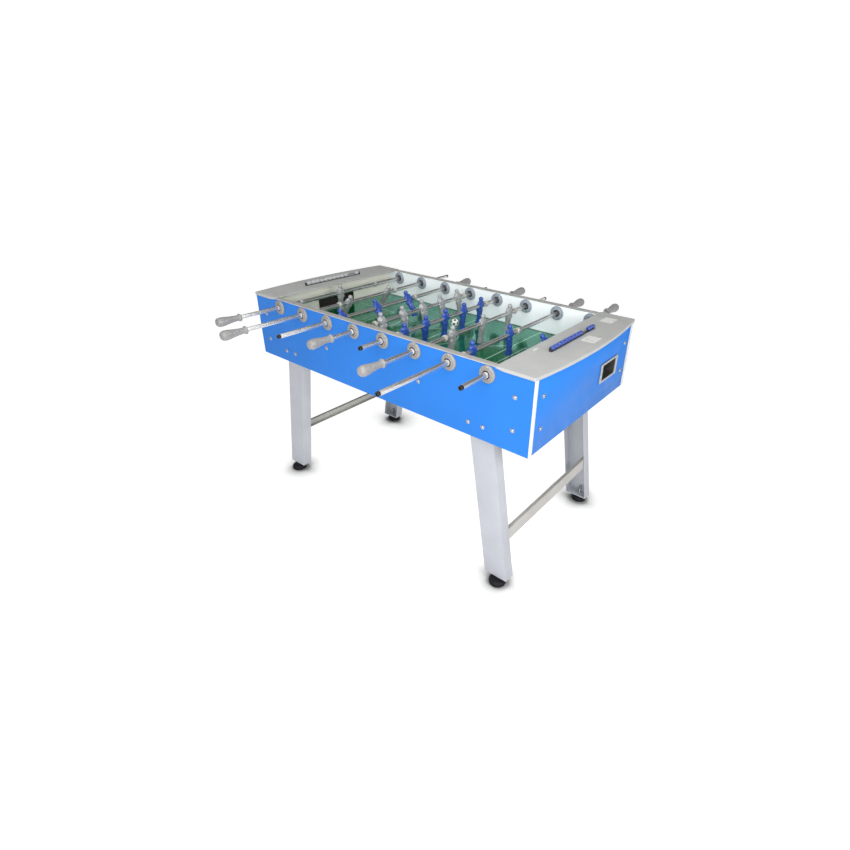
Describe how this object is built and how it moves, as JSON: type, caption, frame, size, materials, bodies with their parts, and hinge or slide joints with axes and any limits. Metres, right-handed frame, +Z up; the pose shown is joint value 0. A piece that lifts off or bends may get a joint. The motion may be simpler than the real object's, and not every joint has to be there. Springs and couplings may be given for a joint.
{
  "type": "foosball table",
  "caption": "Foosball table: a box cabinet on splayed channel legs, with sliding and turning rods of players, ball outlets and bead score counters.",
  "frame": {"origin": "on the floor at the centre of the four levelling feet", "axes": "+Z up; X runs along the pitch from goal to goal, +X towards the goal that the grey players attack; Y runs along the rods, -Y is the side of the grey handles"},
  "size_m": [1.44, 1.311, 0.8894],
  "materials": {
    "blue_laminate": "bright blue laminate on board, satin",
    "white_board": "white laminate",
    "playfield": "green printed board under a clear gloss sheet",
    "moulded_end_top": "fine-textured light grey moulding",
    "rail_aluminium": "brushed, anodised",
    "tray_plastic": "black moulding",
    "leg_paint": "silver-white powder coat",
    "crossbar_paint": "warm grey powder coat",
    "foot_rubber": "matt black",
    "rod_chrome": "polished tube",
    "player_grey": "grey moulding",
    "player_blue": "deep blue moulding",
    "handle_plastic": "grey grip",
    "bush_plastic": "black nylon",
    "counter_frame": "black",
    "bead_blue": "blue bead",
    "bead_dark": "dark grey bead",
    "housing_plastic": "light grey moulded bearing housing",
    "bumper_rubber": "pale rubber stop",
    "clear_sheet": "clear gloss sheet over the pitch",
    "corner_trim": "white corner trim",
    "bezel_plastic": "grey outlet bezel",
    "bolt_steel": "zinc-plated bolts and studs",
    "plate_white": "blank white plate and badge",
    "ball_plastic": "white with black panels"
  },
  "bodies": {
    "cabinet": {"side_panel_near": "blue_laminate", "side_panel_far": "blue_laminate", "side_rail_near": "rail_aluminium", "side_rail_far": "rail_aluminium", "playfield": "playfield", "end_panel_right": "blue_laminate", "goal_wall_right": "white_board", "end_top_right": "moulded_end_top", "ball_tray_right": "tray_plastic", "crossbar_right": "crossbar_paint", "score_counter_right": "counter_frame", "leg_near_right": "leg_paint", "leg_far_right": "leg_paint", "end_panel_left": "blue_laminate", "goal_wall_left": "white_board", "end_top_left": "moulded_end_top", "ball_tray_left": "tray_plastic", "crossbar_left": "crossbar_paint", "score_counter_left": "counter_frame", "leg_near_left": "leg_paint", "leg_far_left": "leg_paint"},
    "bush_1": {"bush_1": "bush_plastic"},
    "rod_1": {"rod_1": "rod_chrome", "players_1": "player_grey", "handle_1": "handle_plastic"},
    "bush_2": {"bush_2": "bush_plastic"},
    "rod_2": {"rod_2": "rod_chrome", "players_2": "player_grey", "handle_2": "handle_plastic"},
    "bush_3": {"bush_3": "bush_plastic"},
    "rod_3": {"rod_3": "rod_chrome", "players_3": "player_blue", "handle_3": "handle_plastic"},
    "bush_4": {"bush_4": "bush_plastic"},
    "rod_4": {"rod_4": "rod_chrome", "players_4": "player_grey", "handle_4": "handle_plastic"},
    "bush_5": {"bush_5": "bush_plastic"},
    "rod_5": {"rod_5": "rod_chrome", "players_5": "player_blue", "handle_5": "handle_plastic"},
    "bush_6": {"bush_6": "bush_plastic"},
    "rod_6": {"rod_6": "rod_chrome", "players_6": "player_grey", "handle_6": "handle_plastic"},
    "bush_7": {"bush_7": "bush_plastic"},
    "rod_7": {"rod_7": "rod_chrome", "players_7": "player_blue", "handle_7": "handle_plastic"},
    "bush_8": {"bush_8": "bush_plastic"},
    "rod_8": {"rod_8": "rod_chrome", "players_8": "player_blue", "handle_8": "handle_plastic"},
    "foot_near_right": {"foot_near_right": "foot_rubber"},
    "foot_near_left": {"foot_near_left": "foot_rubber"},
    "foot_far_right": {"foot_far_right": "foot_rubber"},
    "foot_far_left": {"foot_far_left": "foot_rubber"},
    "score_beads_right": {"score_beads_right": "bead_blue"},
    "score_beads_left": {"score_beads_left": "bead_dark"},
    "ball": {"ball": "ball_plastic"}
  },
  "joints": [
    {"name": "rod_1_spin", "type": "hinge", "parent": "cabinet", "child": "bush_1", "pos_m": [-0.525, 0, 0.836], "axis": [0, 1, 0], "range_deg": [-192, 91]},
    {"name": "rod_1_push", "type": "slide", "parent": "bush_1", "child": "rod_1", "axis": [0, 1, 0], "range_m": [-0.069, 0.159]},
    {"name": "rod_2_spin", "type": "hinge", "parent": "cabinet", "child": "bush_2", "pos_m": [-0.375, 0, 0.836], "axis": [0, 1, 0], "continuous": true},
    {"name": "rod_2_push", "type": "slide", "parent": "bush_2", "child": "rod_2", "axis": [0, 1, 0], "range_m": [-0.153, 0.179]},
    {"name": "rod_3_spin", "type": "hinge", "parent": "cabinet", "child": "bush_3", "pos_m": [-0.225, 0, 0.836], "axis": [0, 1, 0], "continuous": true},
    {"name": "rod_3_push", "type": "slide", "parent": "bush_3", "child": "rod_3", "axis": [0, 1, 0], "range_m": [-0.003, 0.203]},
    {"name": "rod_4_spin", "type": "hinge", "parent": "cabinet", "child": "bush_4", "pos_m": [-0.075, 0, 0.836], "axis": [0, 1, 0], "continuous": true},
    {"name": "rod_4_push", "type": "slide", "parent": "bush_4", "child": "rod_4", "axis": [0, 1, 0], "range_m": [-0.072, 0.042]},
    {"name": "rod_5_spin", "type": "hinge", "parent": "cabinet", "child": "bush_5", "pos_m": [0.075, 0, 0.836], "axis": [0, 1, 0], "continuous": true},
    {"name": "rod_5_push", "type": "slide", "parent": "bush_5", "child": "rod_5", "axis": [0, 1, 0], "range_m": [-0.038, 0.076]},
    {"name": "rod_6_spin", "type": "hinge", "parent": "cabinet", "child": "bush_6", "pos_m": [0.225, 0, 0.836], "axis": [0, 1, 0], "continuous": true},
    {"name": "rod_6_push", "type": "slide", "parent": "bush_6", "child": "rod_6", "axis": [0, 1, 0], "range_m": [-0.127, 0.079]},
    {"name": "rod_7_spin", "type": "hinge", "parent": "cabinet", "child": "bush_7", "pos_m": [0.375, 0, 0.836], "axis": [0, 1, 0], "continuous": true},
    {"name": "rod_7_push", "type": "slide", "parent": "bush_7", "child": "rod_7", "axis": [0, 1, 0], "range_m": [-0.039, 0.293]},
    {"name": "rod_8_spin", "type": "hinge", "parent": "cabinet", "child": "bush_8", "pos_m": [0.525, 0, 0.836], "axis": [0, 1, 0], "range_deg": [-50, 233]},
    {"name": "rod_8_push", "type": "slide", "parent": "bush_8", "child": "rod_8", "axis": [0, 1, 0], "range_m": [-0.112, 0.116]},
    {"name": "foot_near_right_level", "type": "slide", "parent": "cabinet", "child": "foot_near_right", "axis": [0, 0, -1], "range_m": [0, 0.012]},
    {"name": "foot_near_left_level", "type": "slide", "parent": "cabinet", "child": "foot_near_left", "axis": [0, 0, -1], "range_m": [0, 0.012]},
    {"name": "foot_far_right_level", "type": "slide", "parent": "cabinet", "child": "foot_far_right", "axis": [0, 0, -1], "range_m": [0, 0.012]},
    {"name": "foot_far_left_level", "type": "slide", "parent": "cabinet", "child": "foot_far_left", "axis": [0, 0, -1], "range_m": [0, 0.012]},
    {"name": "score_beads_right_slide", "type": "slide", "parent": "cabinet", "child": "score_beads_right", "axis": [0, 1, 0], "range_m": [-0.0425, 0]},
    {"name": "score_beads_left_slide", "type": "slide", "parent": "cabinet", "child": "score_beads_left", "axis": [0, 1, 0], "range_m": [-0.0425, 0]},
    {"name": "ball_roll", "type": "slide", "parent": "cabinet", "child": "ball", "axis": [1, 0, 0], "range_m": [-0.004, 0.585]}
  ]
}
